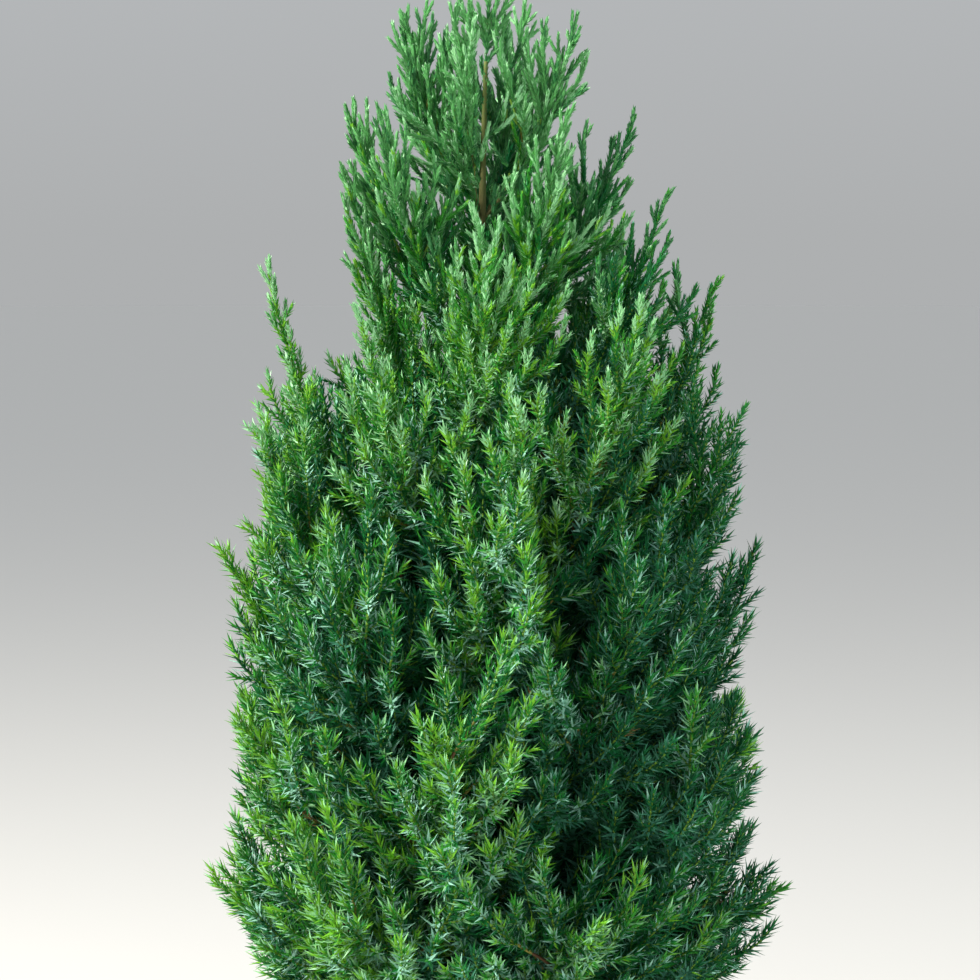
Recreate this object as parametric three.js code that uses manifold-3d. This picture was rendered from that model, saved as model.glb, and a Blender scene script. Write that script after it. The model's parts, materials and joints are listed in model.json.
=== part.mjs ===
// A Chinese juniper of the upright, needle-leaved kind, about 62 cm tall above the soil, in a plain
// clay pot. Millimetres, +Z up. The origin is the middle of the pot's underside, and the side
// that a front view shows faces -Y. The trunk stands whole in the middle, boughs rise from it in
// tiers, and each bough ends in a plume: a stem with a dense core and sprays of needles around it.

import * as THREE from "three";
import { mergeVertices } from "three/addons/utils/BufferGeometryUtils.js";
import Module from "manifold-3d";

const wasm = await Module();
wasm.setup();

// Driving dimensions

const touching = 0.3; // gap kept between pieces that touch on the real plant

const pot = {
  height: 190,
  rimRadius: 106,
  rimHeight: 38,
  rimStep: 7, // how far the rim band stands out from the wall
  footRadius: 69,
  wall: 8,
  floor: 12,
  edge: 2.5, // rounding of the lip and the foot
  drainRadius: 11,
  sides: 28,
};

const soil = {
  level: 167, // where it meets the pot
  moundHeight: 5, // how much higher it is around the trunk
  moundRadius: 22,
};

const trunk = {
  foot: soil.level + soil.moundHeight + touching,
  top: 722,
  footRadius: 10.5,
  topRadius: 1.4,
  flare: 5.5, // extra radius of the root flare
  flareHeight: 9,
  sway: 3.5, // the trunk's bends to either side
  sides: 10,
  rings: 12,
};

// Each tier is a ring of plumes. Heights are above the ground, foot is where they leave the trunk,
// reach is how far their tips are from the trunk, and lean is the tips' angle from upright. bare is
// the share of a stem that is a bough, wide is the radius of a plume's core, and spread is the
// length of its side shoots. around says which way each plume of the tier points, in degrees from
// +X towards +Y.
const tiers = [
  {
    name: "skirt", foot: 197, tip: 274, reach: 157, lean: 50, bare: 0.36,
    wide: 20, spread: 56, shoots: 6,
    around: [-8, -66, -121, 172, 112, 52],
  },
  {
    name: "low", foot: 218, tip: 368, reach: 157, lean: 37, bare: 0.34,
    wide: 25, spread: 60, shoots: 6,
    around: [-30, -98, -151, 149, 92, 30],
  },
  {
    name: "middle", foot: 248, tip: 452, reach: 147, lean: 30, bare: 0,
    wide: 26, spread: 60, shoots: 6,
    around: [0, -54, -124, 179, 122, 62],
  },
  {
    name: "upper", foot: 300, tip: 530, reach: 143, lean: 26, bare: 0,
    wide: 26, spread: 58, shoots: 6,
    around: [-22, -81, -158, 153, 95, 36],
  },
  {
    name: "shoulder", foot: 380, tip: 594, reach: 126, lean: 21, bare: 0,
    wide: 23, spread: 52, shoots: 5,
    around: [3, -56, -122, 180, 108, 55],
  },
  {
    name: "collar", foot: 462, tip: 640, reach: 102, lean: 20, bare: 0,
    wide: 21, spread: 48, shoots: 5,
    around: [-26, -95, -172, 128, 44],
  },
  {
    name: "neck", foot: 548, tip: 699, reach: 78, lean: 18, bare: 0,
    wide: 18, spread: 42, shoots: 5,
    around: [2, -58, -136, 168, 84],
  },
  {
    name: "head", foot: 630, tip: 747, reach: 48, lean: 14, bare: 0,
    wide: 14, spread: 34, shoots: 4,
    around: [-14, -108, 172, 70],
  },
];

const leader = { tip: 767, wide: 8, spread: 24, shoots: 3 };

const limb = {
  footRadius: 4, // of the thickest bough
  footShare: 0.34, // a limb's foot is at most this share of the trunk's radius
  tipRadius: 0.7,
  sides: 5,
  rings: 4,
};
const core = {
  sides: 5,
  rings: 5,
  clear: 1.5, // air kept between the cores of two plumes
  fullFrom: 0.3, // how far past its first leaves a core takes to swell
  thinsFrom: 0.62, // where along the stem it starts to thin out
  thinsTo: 0.97,
  endsAt: 0.92,
};
const spray = {
  slimRadius: 1.6, // the twig that the needles stand on
  needleReach: 7.5, // how far the widest needles' points stand out from the twig
  topReach: 3.5, // the same at the spray's top
  needleForward: 6, // how far they point along it
  turns: 4,
  rings: [0.4, 0.58, 0.76],
  shortest: 20,
  clear: 0.5, // air kept around a spray
};
const shoot = {
  lowOpen: 50, // degrees between the lowest shoots and their stem
  highOpen: 32, // the same near the plume's tip
  lowLength: 0.85, // length of the lowest shoots as a share of the plume's spread
  highLength: 0.6,
  lift: 0.15, // how much all shoots bend upward
  rootDepth: 0.55, // where in the core's radius a shoot starts
  sunk: 5, // the length of its root that is surely inside its own core
  highest: 0.84, // where along the stem the last side shoot is
  tipFrom: 0.76, // where the shoot starts that goes on to the plume's tip
  inward: 0.35, // a shoot that points at the trunk more than this is turned outward
};

const rimClear = 6; // foliage stays this far above the rim
const strayOver = 5; // a side shoot may reach this far past the crown's outline
const varySeed = 11;

// Plumes that stand out of line on this plant.
const strays = {
  shoulder_4: { tip: 611, reach: 123, lean: 10 },
  collar_3: { tip: 660, reach: 82 },
};

const up = new THREE.Vector3(0, 0, 1);
const goldenAngle = THREE.MathUtils.degToRad(137.508);

// Small sums

function lerp(a, b, t) {
  return a + (b - a) * t;
}

function radians(degrees) {
  return THREE.MathUtils.degToRad(degrees);
}

// A repeatable number from 0 to 1 for one plume and one draw.
function vary(plume, draw) {
  const s = Math.sin(plume * 127.1 + draw * 311.7 + varySeed) * 43758.5453;
  return s - Math.floor(s);
}

// A height's value on a line through rising [height, value] pairs.
function between(pairs, height) {
  const next = pairs.findIndex(([level]) => level > height);
  if (next === -1) return pairs[pairs.length - 1][1];
  if (next === 0) return pairs[0][1];
  const [[low, a], [high, b]] = pairs.slice(next - 1, next + 1);
  return lerp(a, b, (height - low) / (high - low));
}

// Solids and geometries

function solidOf(geometry) {
  const bare = geometry.clone();
  bare.deleteAttribute("normal");
  bare.deleteAttribute("uv");
  const merged = mergeVertices(bare, 1e-4);
  const triangles = [];
  for (let i = 0; i < merged.index.count; i += 3) {
    const [a, b, c] = [0, 1, 2].map((k) => merged.index.getX(i + k));
    if (a !== b && b !== c && c !== a) triangles.push(a, b, c);
  }
  return new wasm.Manifold(
    new wasm.Mesh({
      numProp: 3,
      vertProperties: merged.attributes.position.array,
      triVerts: new Uint32Array(triangles),
    }),
  );
}

function geometryOf(solid) {
  const mesh = solid.getMesh();
  const places = new Float32Array(mesh.numVert * 3);
  for (let i = 0; i < mesh.numVert; i++) {
    places.set(mesh.vertProperties.subarray(i * mesh.numProp, i * mesh.numProp + 3), i * 3);
  }
  const geometry = new THREE.BufferGeometry();
  geometry.setAttribute("position", new THREE.BufferAttribute(places, 3));
  geometry.setIndex(new THREE.BufferAttribute(mesh.triVerts, 1));
  geometry.computeVertexNormals();
  return geometry;
}

// The outer shell of a solid's largest body: scraps are dropped and sealed hollows filled.
function wholeOf(solid) {
  return solid.decompose().reduce((a, b) => (b.volume() > a.volume() ? b : a));
}

function lathed(profile, sides) {
  const points = profile.map(([radius, height]) => new THREE.Vector2(radius, height));
  return new THREE.LatheGeometry(points, sides);
}

// A closed tapering tube: a cylinder bent along a curve that lies in a plane square to side.
function taperedTube({ curve, start, end, radiusAt, sides, rings, side }) {
  const tube = new THREE.CylinderGeometry(1, 1, 1, sides, rings);
  const places = tube.attributes.position;
  for (let i = 0; i < places.count; i++) {
    const along = 0.5 + places.getY(i);
    const t = lerp(start, end, along);
    const upper = new THREE.Vector3().crossVectors(curve.getTangent(t), side);
    const radius = radiusAt(t);
    const place = curve
      .getPoint(t)
      .addScaledVector(side, -places.getX(i) * radius)
      .addScaledVector(upper, places.getZ(i) * radius);
    places.setXYZ(i, place.x, place.y, place.z);
  }
  return tube;
}

// Pot and soil

const bandFoot = pot.height - pot.rimHeight;

// The outside radius of the wall below the rim band.
function wallRadius(height) {
  return lerp(pot.footRadius, pot.rimRadius - pot.rimStep, Math.min(height / bandFoot, 1));
}

function potGeometry() {
  const inside = wallRadius(bandFoot) - pot.wall;
  const profile = [
    [pot.drainRadius, 0],
    [pot.footRadius - pot.edge, 0],
    [wallRadius(pot.edge), pot.edge],
    [wallRadius(bandFoot), bandFoot],
    [pot.rimRadius - 1, bandFoot + 1],
    [pot.rimRadius, pot.height - pot.edge],
    [pot.rimRadius - pot.edge, pot.height],
    [inside + pot.edge, pot.height],
    [inside, pot.height - pot.edge],
    [inside - 1, bandFoot],
    [wallRadius(pot.floor) - pot.wall, pot.floor],
    [pot.drainRadius, pot.floor],
    [pot.drainRadius, 0],
  ];
  return lathed(profile, pot.sides).rotateX(Math.PI / 2);
}

function soilGeometry() {
  const clear = pot.wall + touching * 2;
  const wide = wallRadius(bandFoot) - clear - 1;
  const top = soil.level + soil.moundHeight;
  const profile = [
    [0, pot.floor + touching],
    [wallRadius(pot.floor) - clear, pot.floor + touching],
    [wide, bandFoot],
    [wide, soil.level],
    [wide * 0.55, soil.level + soil.moundHeight * 0.6],
    [soil.moundRadius, top],
    [0, top],
  ];
  return lathed(profile, pot.sides).rotateX(Math.PI / 2);
}

// Trunk

const trunkLength = trunk.top - trunk.foot;

function trunkPlace(height) {
  const t = (height - trunk.foot) / trunkLength;
  return new THREE.Vector3(
    trunk.sway * (Math.sin(t * 5.2) - 4 * t * (1 - t)),
    trunk.sway * 0.7 * Math.sin(t * 6.4 + 0.6) * t,
    height,
  );
}

function trunkRadius(t) {
  const flare = trunk.flare * Math.exp((-t * trunkLength) / trunk.flareHeight);
  return lerp(trunk.footRadius, trunk.topRadius, t ** 0.92) + flare;
}

// The trunk's rings are level, and closer together at the root flare.
function trunkGeometry(wider) {
  const bunch = 1.5;
  return taperedTube({
    curve: {
      getPoint: (t) => trunkPlace(lerp(trunk.foot, trunk.top, t ** bunch)),
      getTangent: () => up,
    },
    start: 0,
    end: 1,
    radiusAt: (t) => trunkRadius(t ** bunch) + wider,
    sides: trunk.sides,
    rings: trunk.rings,
    side: new THREE.Vector3(1, 0, 0),
  });
}

// Plumes: where each one's stem runs

function makePlume({ name, index, foot, tip, outward, lean, rise, ...rest }) {
  const span = foot.distanceTo(tip);
  const rising = (angle) =>
    outward.clone().multiplyScalar(Math.sin(angle)).addScaledVector(up, Math.cos(angle));
  const curve = new THREE.CubicBezierCurve3(
    foot,
    foot.clone().addScaledVector(rising(Math.PI / 2 - rise), span * 0.36),
    tip.clone().addScaledVector(rising(lean), -span * 0.34),
    tip,
  );
  const side = new THREE.Vector3().crossVectors(up, outward);
  return { name, index, curve, outward, side, ...rest };
}

function tierPlumes(tier, firstIndex) {
  return tier.around.map((turn, k) => {
    const name = `${tier.name}_${k + 1}`;
    const index = firstIndex + k;
    const shift = (draw) => vary(index, draw) - 0.5;
    const drawn = {
      tip: tier.tip + 22 * shift(4),
      reach: tier.reach * (1 + 0.04 * shift(3)),
      lean: tier.lean + 6 * shift(5),
    };
    const { tip: height, reach, lean } = { ...drawn, ...strays[name] };
    const azimuth = radians(turn + 8 * shift(1));
    const outward = new THREE.Vector3(Math.cos(azimuth), Math.sin(azimuth), 0);
    const foot = trunkPlace(tier.foot + 10 * shift(2));
    return makePlume({
      name,
      index,
      foot,
      tip: outward.clone().multiplyScalar(reach).setZ(height),
      outward,
      lean: radians(lean),
      rise: 0.72 * Math.atan2(height - foot.z, reach),
      bare: tier.bare,
      leafyFrom: Math.max(tier.bare + 0.03, 0.3),
      wide: tier.wide,
      spread: tier.spread,
      shoots: tier.shoots,
    });
  });
}

// The leader goes on from the trunk's tip.
function leaderPlume(index) {
  const foot = trunkPlace(trunk.top + touching);
  return makePlume({
    name: "leader",
    index,
    foot,
    tip: new THREE.Vector3(foot.x + 2, foot.y, leader.tip),
    outward: new THREE.Vector3(1, 0, 0),
    lean: 0,
    rise: Math.PI / 2,
    bare: 0,
    leafyFrom: 0.04,
    wide: leader.wide,
    spread: leader.spread,
    shoots: leader.shoots,
  });
}

function allPlumes() {
  const plumes = [];
  for (const tier of tiers) plumes.push(...tierPlumes(tier, plumes.length));
  return [...plumes, leaderPlume(plumes.length)];
}

const plumes = allPlumes();

// How far the crown reaches from the middle at each height.
const outline = [
  [pot.height, pot.rimRadius + 12],
  ...tiers.map(({ tip, reach }) => [tip, reach]),
  [leader.tip, leader.spread / 2],
];

// The room that a plume's core has: half way to the nearest other stem, and clear of the trunk.
const stemSteps = 24;
const stemPoints = plumes.map(({ name, curve }) => ({ name, points: curve.getPoints(stemSteps) }));

function roomAt(plume, t) {
  const here = plume.curve.getPoint(t);
  const trunkT = THREE.MathUtils.clamp((here.z - trunk.foot) / trunkLength, 0, 1);
  const toTrunk = here.distanceTo(trunkPlace(Math.min(here.z, trunk.top))) - trunkRadius(trunkT);
  const others = stemPoints.filter(({ name }) => name !== plume.name);
  const gaps = others.flatMap(({ points }) => points.map((point) => point.distanceTo(here)));
  return Math.min(toTrunk, Math.min(...gaps) / 2) - core.clear;
}

function stemRadius(plume, t) {
  const trunkT = Math.max((plume.curve.v0.z - trunk.foot) / trunkLength, 0);
  const thickest = Math.min(limb.footRadius, trunkRadius(Math.min(trunkT, 1)) * limb.footShare);
  return lerp(Math.max(thickest, limb.tipRadius), limb.tipRadius, t);
}

// The stem swells into the plume's core and thins out again towards its tip.
function coreRadius(plume, t) {
  const leafy = plume.leafyFrom;
  const swell = THREE.MathUtils.smoothstep(t, leafy - 0.06, leafy + core.fullFrom);
  const ending = THREE.MathUtils.smoothstep(t, core.thinsFrom, core.thinsTo);
  const stem = stemRadius(plume, t);
  const radius = lerp(stem, plume.wide, swell * (1 - ending));
  return swell > 0 ? Math.max(Math.min(radius, roomAt(plume, t)), stem) : radius;
}

// Shoots: the sprays that stand out of each stem

// A spray of needles: a slim spindle on which every second point stands out and forward as a
// needle's tip, with its faces meeting along the valleys between.
function needleSpray(length) {
  const ends = [0, ...spray.rings, 1];
  const profile = ends.map((t) => [t % 1 === 0 ? 0 : spray.slimRadius, t * length]);
  const spindle = lathed(profile, spray.turns);
  const places = spindle.attributes.position;
  for (let turn = 0; turn <= spray.turns; turn++) {
    for (let ring = 1; ring < profile.length - 1; ring++) {
      if ((turn + ring) % 2 === 1) continue;
      const i = turn * profile.length + ring;
      const higher = (ring - 1) / (spray.rings.length - 1);
      const wider = lerp(spray.needleReach, spray.topReach, higher) / spray.slimRadius;
      const forward = places.getY(i) + spray.needleForward;
      places.setXYZ(i, places.getX(i) * wider, forward, places.getZ(i) * wider);
    }
  }
  spindle.setIndex(valleyFaces(spray.turns, profile.length));
  return spindle;
}

// The faces between a spindle's rings, each pair split between its two valleys.
function valleyFaces(turns, rings) {
  const faces = [];
  for (let turn = 0; turn < turns; turn++) {
    for (let ring = 0; ring < rings - 1; ring++) {
      const a = turn * rings + ring;
      const b = a + rings;
      if (ring === 0) faces.push(b, b + 1, a + 1);
      else if (ring === rings - 2) faces.push(a, b, b + 1);
      else if ((turn + ring) % 2 === 0) faces.push(a, b, a + 1, b + 1, a + 1, b);
      else faces.push(a, b, b + 1, b + 1, a + 1, a);
    }
  }
  return faces;
}

function placedSpray({ root, direction, length }) {
  const growing = new THREE.Vector3(0, 1, 0);
  const geometry = needleSpray(length);
  geometry.applyQuaternion(new THREE.Quaternion().setFromUnitVectors(growing, direction));
  geometry.translate(root.x, root.y, root.z);
  return solidOf(geometry);
}

// The last shoot carries the stem on to the plume's tip.
function tipShoot(plume) {
  const root = plume.curve.getPoint(shoot.tipFrom);
  const onward = plume.curve.getPoint(1).sub(root);
  return { root, direction: onward.clone().normalize(), length: onward.length() };
}

function sideShoot(plume, k) {
  const share = k / (plume.shoots - 1);
  const t = lerp(plume.leafyFrom + 0.03, shoot.highest, share);
  const along = plume.curve.getTangent(t);
  const upper = new THREE.Vector3().crossVectors(along, plume.side);
  const round = k * goldenAngle + vary(plume.index, 20) * Math.PI * 2;
  const away = plume.side.clone().multiplyScalar(Math.cos(round));
  away.addScaledVector(upper, Math.sin(round));
  if (away.dot(plume.outward) < -shoot.inward) away.negate();
  const turn = 10 * (vary(plume.index, 30 + k) - 0.5);
  const open = radians(lerp(shoot.lowOpen, shoot.highOpen, share) + turn);
  const direction = along
    .multiplyScalar(Math.cos(open))
    .addScaledVector(away, Math.sin(open))
    .addScaledVector(up, shoot.lift)
    .normalize();
  const length = plume.spread * lerp(shoot.lowLength, shoot.highLength, share);
  return {
    root: plume.curve.getPoint(t).addScaledVector(away, coreRadius(plume, t) * shoot.rootDepth),
    direction,
    length: length * lerp(0.9, 1.1, vary(plume.index, 50 + k)),
  };
}

// The least distance between two straight stretches, each from one point to another.
function stretchGap(a, b) {
  const u = b.to.clone().sub(b.from);
  const v = a.to.clone().sub(a.from);
  const w = a.from.clone().sub(b.from);
  const [uu, uv, vv, uw, vw] = [u.dot(u), u.dot(v), v.dot(v), u.dot(w), v.dot(w)];
  const clamp = (x) => THREE.MathUtils.clamp(x, 0, 1);
  const below = uu * vv - uv * uv;
  let s = below < 1e-9 ? 0 : clamp((vv * uw - uv * vw) / below);
  const t = clamp((uv * s - vw) / vv);
  s = clamp((uw + uv * t) / uu);
  return w.addScaledVector(v, t).addScaledVector(u, -s).length();
}

// A limb as straight stretches, for telling whether a spray would touch it.
function stretches({ placeAt, radiusAt, owner, start, count }) {
  return Array.from({ length: count }, (_, i) => {
    const [t0, t1] = [i, i + 1].map((k) => lerp(start, 1, k / count));
    const radius = Math.max(radiusAt(t0), radiusAt(t1));
    return { from: placeAt(t0), to: placeAt(t1), radius, owner };
  });
}

// Whether a point is too near the pot or the soil, or past the crown's outline.
function outOfSpace(point) {
  const fromAxis = Math.hypot(point.x, point.y);
  const overPot = fromAxis > wallRadius(bandFoot) - pot.wall - spray.needleReach;
  const lowest = overPot ? pot.height + rimClear : soil.level + soil.moundHeight + rimClear;
  if (point.z < lowest + spray.needleReach) return true;
  return fromAxis > between(outline, point.z) + strayOver;
}

function fits(stretch, taken) {
  return taken.every(
    (other) =>
      other.owner === stretch.owner ||
      stretchGap(stretch, other) > stretch.radius + other.radius + spray.clear,
  );
}

// A shoot is cut shorter until it fits in its plume's own space, and left out if it never does.
function fittedShoot(wanted, owner, taken) {
  const reaching = (distance) => wanted.root.clone().addScaledVector(wanted.direction, distance);
  const from = reaching(shoot.sunk);
  for (let length = wanted.length; length >= spray.shortest; length *= 0.85) {
    const stretch = { from, to: reaching(length), radius: spray.needleReach, owner };
    if (!outOfSpace(stretch.to) && fits(stretch, taken)) {
      taken.push(stretch);
      return { ...wanted, length };
    }
  }
  return null;
}

// Grows one shoot on each plume in turn, so that every plume gets its share of the space.
function growShoots() {
  const trunkAt = (t) => trunkPlace(lerp(trunk.foot, trunk.top, t));
  const limits = { placeAt: trunkAt, radiusAt: trunkRadius, owner: "trunk", start: 0, count: 16 };
  const taken = stretches(limits);
  for (const plume of plumes) {
    const placeAt = (t) => plume.curve.getPoint(t);
    const radiusAt = (t) => coreRadius(plume, t);
    taken.push(...stretches({ placeAt, radiusAt, owner: plume.name, start: 0.08, count: 12 }));
  }
  const grown = new Map(plumes.map((plume) => [plume.name, [tipShoot(plume)]]));
  for (const { name, curve } of plumes) {
    const { root } = grown.get(name)[0];
    taken.push({ from: root, to: curve.getPoint(1), radius: spray.needleReach, owner: name });
  }
  const most = Math.max(...plumes.map((plume) => plume.shoots));
  for (let k = most - 1; k >= 0; k--) {
    for (const plume of plumes.filter((one) => k < one.shoots)) {
      const fitted = fittedShoot(sideShoot(plume, k), plume.name, taken);
      if (fitted) grown.get(plume.name).push(fitted);
    }
  }
  return grown;
}

// Pieces

const colours = {
  clay: { color: 0xb4714f, roughness: 0.85 },
  earth: { color: 0x35271c, roughness: 0.95 },
  bark: { color: 0x6b4a36, roughness: 0.9 },
  needles: { color: 0x2f6b34, roughness: 0.6 },
};
const materials = Object.fromEntries(
  Object.entries(colours).map(([name, look]) => [
    name,
    new THREE.MeshStandardMaterial({ ...look, metalness: 0 }),
  ]),
);

function piece(name, geometry, material) {
  const mesh = new THREE.Mesh(geometry, material);
  mesh.name = name;
  return mesh;
}

// A bough's foot is cut to the trunk's own shape.
function boughGeometry(plume) {
  const bough = taperedTube({
    ...plume,
    ...limb,
    start: 0,
    end: plume.bare,
    radiusAt: (t) => stemRadius(plume, t),
  });
  return geometryOf(wholeOf(solidOf(bough).subtract(trunkSleeve)));
}

// How far along a curve the gap of two pieces that touch goes.
function gapAlong(curve, t) {
  const step = 0.01;
  return (touching * step) / curve.getPoint(t).distanceTo(curve.getPoint(t + step));
}

function foliageGeometry(plume, sprays) {
  const stem = taperedTube({
    ...plume,
    ...core,
    start: plume.bare > 0 ? plume.bare + gapAlong(plume.curve, plume.bare) : 0,
    end: core.endsAt,
    radiusAt: (t) => coreRadius(plume, t),
  });
  const solid = sprays.reduce((whole, one) => whole.add(placedSpray(one)), solidOf(stem));
  return geometryOf(wholeOf(solid.subtract(trunkSleeve)));
}

const trunkSleeve = solidOf(trunkGeometry(touching));
const shoots = growShoots();

const juniper = new THREE.Group();
juniper.name = "potted_juniper";
juniper.add(piece("pot", potGeometry(), materials.clay));
juniper.add(piece("soil", soilGeometry(), materials.earth));
juniper.add(piece("trunk", trunkGeometry(0), materials.bark));
for (const plume of plumes) {
  if (plume.bare > 0) {
    juniper.add(piece(`bough_${plume.name}`, boughGeometry(plume), materials.bark));
  }
  const foliage = foliageGeometry(plume, shoots.get(plume.name));
  juniper.add(piece(`foliage_${plume.name}`, foliage, materials.needles));
}

export default juniper;
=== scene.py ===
import json
import math

import bpy
import numpy as np
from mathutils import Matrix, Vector, noise

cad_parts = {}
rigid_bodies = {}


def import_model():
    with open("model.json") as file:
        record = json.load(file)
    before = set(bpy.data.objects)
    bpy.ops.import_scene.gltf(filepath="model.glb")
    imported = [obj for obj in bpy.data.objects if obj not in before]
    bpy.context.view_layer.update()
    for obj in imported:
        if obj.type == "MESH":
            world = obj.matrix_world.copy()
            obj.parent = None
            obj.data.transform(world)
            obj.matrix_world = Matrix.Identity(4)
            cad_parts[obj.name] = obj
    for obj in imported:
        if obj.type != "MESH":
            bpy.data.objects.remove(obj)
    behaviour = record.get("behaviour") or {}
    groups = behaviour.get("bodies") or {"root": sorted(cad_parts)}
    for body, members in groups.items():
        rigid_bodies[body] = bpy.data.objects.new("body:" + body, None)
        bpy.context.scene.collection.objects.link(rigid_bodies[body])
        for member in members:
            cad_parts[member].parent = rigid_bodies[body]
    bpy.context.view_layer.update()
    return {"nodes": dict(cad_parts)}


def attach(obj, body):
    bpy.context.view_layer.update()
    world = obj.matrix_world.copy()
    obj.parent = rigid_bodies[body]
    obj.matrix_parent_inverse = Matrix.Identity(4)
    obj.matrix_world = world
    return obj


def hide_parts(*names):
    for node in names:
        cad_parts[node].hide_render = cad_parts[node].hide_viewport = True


for leftover in list(bpy.data.objects):
    bpy.data.objects.remove(leftover)
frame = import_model()
print("frame loaded,", len(frame["nodes"]), "nodes")

toMetres = 0.001
goldenAngle = math.radians(137.508)
up = np.array([0.0, 0.0, 1.0])

# the plant's own rule, as in the CAD source

trunk = {
    "foot": 172.3,
    "top": 722.0,
    "footRadius": 10.5,
    "topRadius": 1.4,
    "flare": 5.5,
    "flareHeight": 9.0,
    "sway": 3.5,
}
limb = {"footRadius": 4.0, "footShare": 0.34, "tipRadius": 0.7}
varySeed = 11

# name, heights of the foot and the tip, reach, lean at the tip, whether the CAD source shows
# the limb bare, and the plumes' directions in degrees
tiers = [
    ("skirt", 197, 274, 157, 50, True, (-8, -66, -121, 172, 112, 52)),
    ("low", 218, 368, 157, 37, True, (-30, -98, -151, 149, 92, 30)),
    ("middle", 248, 452, 147, 30, False, (0, -54, -124, 179, 122, 62)),
    ("upper", 300, 530, 143, 26, False, (-22, -81, -158, 153, 95, 36)),
    ("shoulder", 380, 594, 126, 21, False, (3, -56, -122, 180, 108, 55)),
    ("collar", 462, 640, 102, 20, False, (-26, -95, -172, 128, 44)),
    ("neck", 548, 699, 78, 18, False, (2, -58, -136, 168, 84)),
    ("head", 630, 747, 48, 14, False, (-14, -108, 172, 70)),
]
# how far single plumes of a tier stray from the tier's own values
tierScatter = {"tip": 22, "reach": 0.04, "lean": 6, "turn": 8, "foot": 10}
leader = {"tip": 767, "reach": 12}
strays = {
    "shoulder_4": {"tip": 611, "reach": 123, "lean": 10},
    "collar_3": {"tip": 660, "reach": 82},
}
potRim = {"height": 190, "radius": 106}
soilTop = 172


def lerp(a, b, t):
    return a + (b - a) * t


def smooth(low, high, x):
    t = np.clip((x - low) / (high - low), 0, 1)
    return t * t * (3 - 2 * t)


def unit(vectors):
    return vectors / np.linalg.norm(vectors, axis=-1, keepdims=True)


def wayOut(azimuth):
    return np.array([math.cos(azimuth), math.sin(azimuth), 0.0])


# two ways at right angles, turned by spin
def turned(first, second, spin):
    return first * np.cos(spin)[:, None] + second * np.sin(spin)[:, None]


# how far each point of a line is from its start
def lengthsAlong(line):
    steps = np.linalg.norm(np.diff(line, axis=0), axis=1)
    return np.concatenate([[0], np.cumsum(steps)])


def vary(plume, draw):
    s = math.sin(plume * 127.1 + draw * 311.7 + varySeed) * 43758.5453
    return s - math.floor(s)


def trunkPlace(height):
    height = np.asarray(height, float)
    t = (height - trunk["foot"]) / (trunk["top"] - trunk["foot"])
    x = trunk["sway"] * (np.sin(t * 5.2) - 4 * t * (1 - t))
    y = trunk["sway"] * 0.7 * np.sin(t * 6.4 + 0.6) * t
    return np.stack([x, y, height], axis=-1)


def trunkRadius(t):
    length = trunk["top"] - trunk["foot"]
    flare = trunk["flare"] * np.exp(-t * length / trunk["flareHeight"])
    return lerp(trunk["footRadius"], trunk["topRadius"], t**0.92) + flare


# a plume's stem leaves the trunk at one angle and rises to its tip at another
def makePlume(name, tier, bare, foot, tip, outward, lean, rise):
    span = np.linalg.norm(tip - foot)

    def rising(angle):
        return outward * math.sin(angle) + up * math.cos(angle)

    footHandle = foot + rising(math.pi / 2 - rise) * span * 0.36
    tipHandle = tip - rising(lean) * span * 0.34
    handles = [foot, footHandle, tipHandle, tip]
    return {"name": name, "tier": tier, "bare": bare, "handles": handles, "outward": outward}


def tierPlumes(tier, firstIndex):
    name, footHeight, tip, reach, lean, bare, around = tier
    made = []
    for k, turn in enumerate(around):
        plumeName, index = f"{name}_{k + 1}", firstIndex + k
        drawn = {
            "tip": tip + tierScatter["tip"] * (vary(index, 4) - 0.5),
            "reach": reach * (1 + tierScatter["reach"] * (vary(index, 3) - 0.5)),
            "lean": lean + tierScatter["lean"] * (vary(index, 5) - 0.5),
        }
        drawn.update(strays.get(plumeName, {}))
        outward = wayOut(math.radians(turn + tierScatter["turn"] * (vary(index, 1) - 0.5)))
        foot = trunkPlace(footHeight + tierScatter["foot"] * (vary(index, 2) - 0.5))
        end = outward * drawn["reach"] + up * drawn["tip"]
        angle = math.radians(drawn["lean"])
        rise = 0.72 * math.atan2(drawn["tip"] - foot[2], drawn["reach"])
        made.append(makePlume(plumeName, name, bare, foot, end, outward, angle, rise))
    return made


def leaderPlume():
    foot = trunkPlace(trunk["top"] + 0.3)
    tip = np.array([foot[0] + 2, foot[1], leader["tip"]])
    return makePlume("leader", "head", False, foot, tip, wayOut(0), 0, math.pi / 2)


def bezierAt(handles, t):
    t = np.asarray(t, float)[..., None]
    a, b, c, d = handles
    u = 1 - t
    return u**3 * a + 3 * u * u * t * b + 3 * u * t * t * c + t**3 * d


def stemAt(plume, t):
    return bezierAt(plume["handles"], t)


def stemAlong(plume, t):
    t = np.asarray(t, float)[..., None]
    a, b, c, d = plume["handles"]
    u = 1 - t
    return unit(u * u * (b - a) + 2 * u * t * (c - b) + t * t * (d - c))


# how thick a bough is where it leaves the trunk
def boughRadius(plume):
    height = plume["handles"][0][2]
    trunkT = min(max((height - trunk["foot"]) / (trunk["top"] - trunk["foot"]), 0), 1)
    thickest = min(limb["footRadius"], trunkRadius(trunkT) * limb["footShare"])
    return max(thickest, limb["tipRadius"])


plumes = []
for tier in tiers:
    plumes += tierPlumes(tier, len(plumes))
plumes.append(leaderPlume())
print("plumes", len(plumes))

# heights and the plumes' reach at each
outline = np.array(
    [(potRim["height"], potRim["radius"] + 12)]
    + [(tier[2], tier[3]) for tier in tiers]
    + [(leader["tip"], leader["reach"])],
    float,
)

# the crown: fingers of foliage whose tips stand at its outline

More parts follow.
